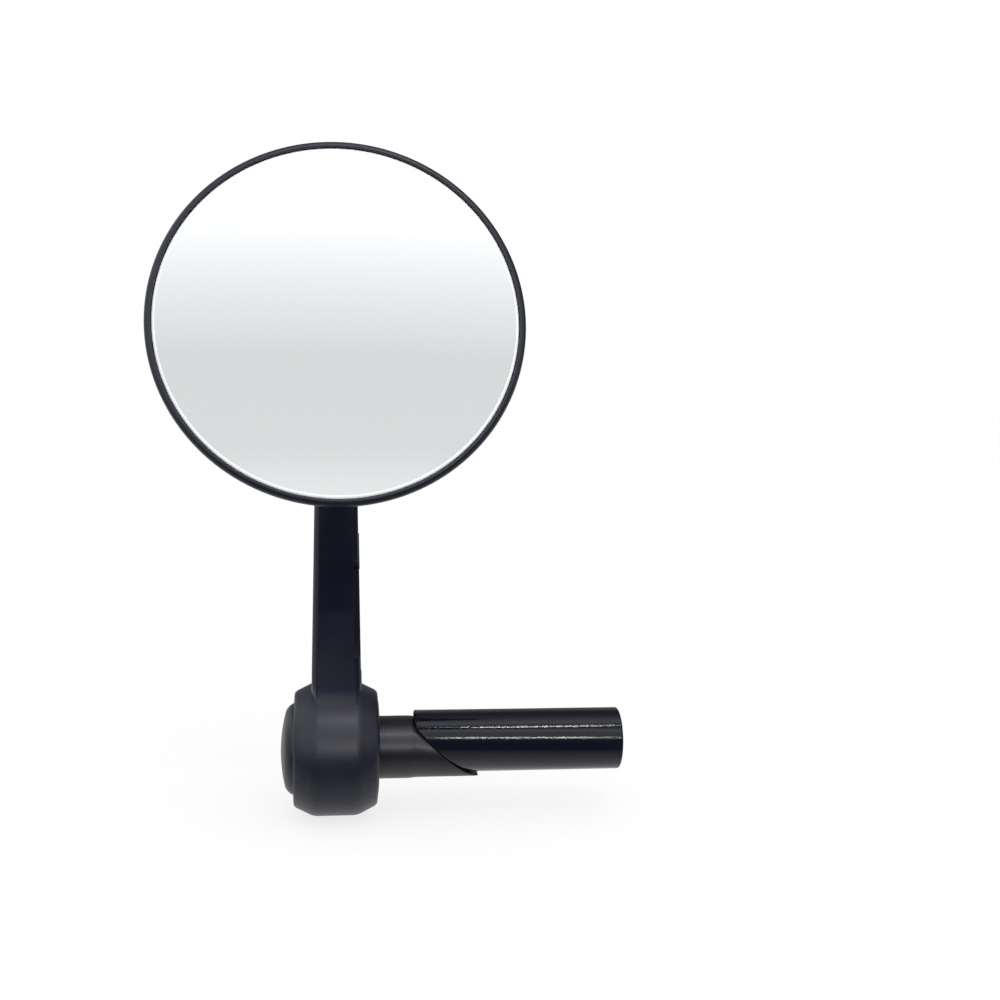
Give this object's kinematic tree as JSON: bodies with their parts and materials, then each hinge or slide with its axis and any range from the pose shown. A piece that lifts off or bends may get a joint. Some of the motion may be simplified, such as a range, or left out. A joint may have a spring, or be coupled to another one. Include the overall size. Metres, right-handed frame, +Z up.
{
  "type": "bar-end motorcycle mirror",
  "caption": "Round bar-end motorcycle mirror on a cranked arm, with a ball-jointed head, a swivelling hub and an expanding wedge plug that clamps inside the handlebar.",
  "frame": {"origin": "on the plug's axis, at the flange face that meets the end of the handlebar", "axes": "+X along the plug into the handlebar, +Z up the arm, the glass looks along -Y"},
  "size_m": [0.1228, 0.0781, 0.1741],
  "materials": {
    "anodised_arm": "satin",
    "anodised_head": "matte",
    "anodised_plug": "satin",
    "gloss_black_wedge": "gloss",
    "steel": "satin",
    "bright_steel": "polished",
    "nylon": "matte",
    "black_rubber": "matte",
    "adhesive_foam": "matte",
    "mirror_silver": "polished"
  },
  "bodies": {
    "base": {"spindle": "anodised_plug"},
    "wedge_body": {"wedge": "gloss_black_wedge"},
    "washer_body": {"bolt_washer": "steel", "spring_washer": "steel"},
    "bolt_body": {"expander_bolt": "steel"},
    "arm_body": {"arm": "anodised_arm", "end_cap": "anodised_arm", "cap_ring": "black_rubber", "friction_washer": "nylon", "ball_stud": "bright_steel"},
    "liner_body": {"ball_liner": "nylon"},
    "seat_body": {"ball_seat": "nylon", "disc_springs": "steel"},
    "head_body": {"head_housing": "anodised_head", "spring_plate": "steel", "plate_screws": "steel", "glass_tape": "adhesive_foam", "mirror_glass": "mirror_silver"}
  },
  "joints": [
    {"name": "wedge_slide", "type": "slide", "parent": "base", "child": "wedge_body", "axis": [-0.7431, -0.1956, 0.6399], "range_m": [-0.00239, 0.0012]},
    {"name": "washer_slide", "type": "slide", "parent": "wedge_body", "child": "washer_body", "axis": [1, 0, 0], "range_m": [-0.00178, 0.00089]},
    {"name": "bolt_turn", "type": "hinge", "parent": "washer_body", "child": "bolt_body", "pos_m": [0, -0.00047, 0.00153], "axis": [1, 0, 0], "range_deg": [-639.8, 319.9]},
    {"name": "arm_swing", "type": "hinge", "parent": "base", "child": "arm_body", "pos_m": [-0.01085, 0, 0], "axis": [1, 0, 0], "continuous": true},
    {"name": "head_pan", "type": "hinge", "parent": "arm_body", "child": "liner_body", "pos_m": [-0.01085, 0.02558, 0.10571], "axis": [0, 0, 1], "range_deg": [-15, 15]},
    {"name": "head_tilt", "type": "hinge", "parent": "liner_body", "child": "seat_body", "pos_m": [-0.01085, 0.02558, 0.10571], "axis": [-1, 0, 0], "range_deg": [-30, 6]},
    {"name": "head_spin", "type": "hinge", "parent": "seat_body", "child": "head_body", "pos_m": [-0.01085, 0.02558, 0.10571], "axis": [0, -0.9641, 0.2656], "continuous": true}
  ],
  "couplings": [
    {"joint": "bolt_turn", "follows": "wedge_slide", "rad_per_m": 4669.3},
    {"joint": "washer_slide", "follows": "wedge_slide", "ratio": 0.74314}
  ]
}
